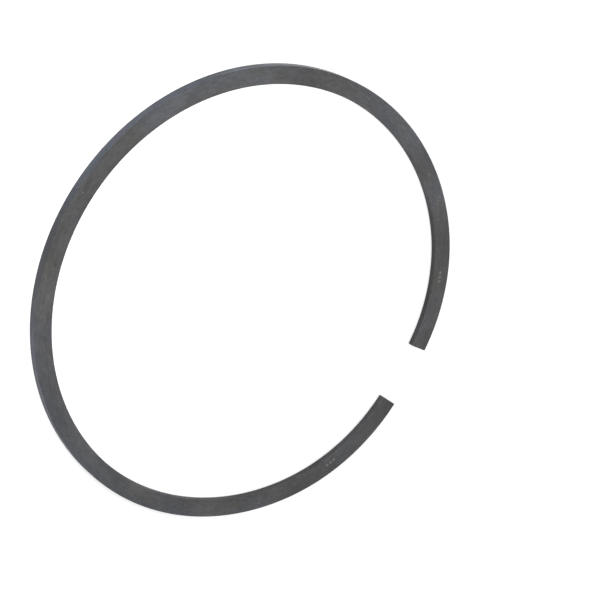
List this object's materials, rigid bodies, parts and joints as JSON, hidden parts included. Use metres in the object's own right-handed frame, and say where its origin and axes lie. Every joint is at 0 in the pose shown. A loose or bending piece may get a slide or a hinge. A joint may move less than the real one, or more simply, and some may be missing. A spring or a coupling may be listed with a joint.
{
  "type": "piston ring",
  "caption": "Split compression ring of dark coated cast iron with an open end gap and a rectangular section that is bevelled inside its lower edge, lying flat in its free state; seals a piston in its cylinder.",
  "frame": {"origin": "on the axis of the ring's back arc, in the plane of the lower flank", "axes": "+Z along the ring's axis towards the upper flank, with the end gap on the diagonal between +X and -Y"},
  "size_m": [0.09, 0.09, 0.002],
  "materials": {
    "coated_iron": "satin dark grey phosphate coat over ground cast iron"
  },
  "bodies": {
    "root": {"compression_ring": "coated_iron"}
  },
  "joints": []
}
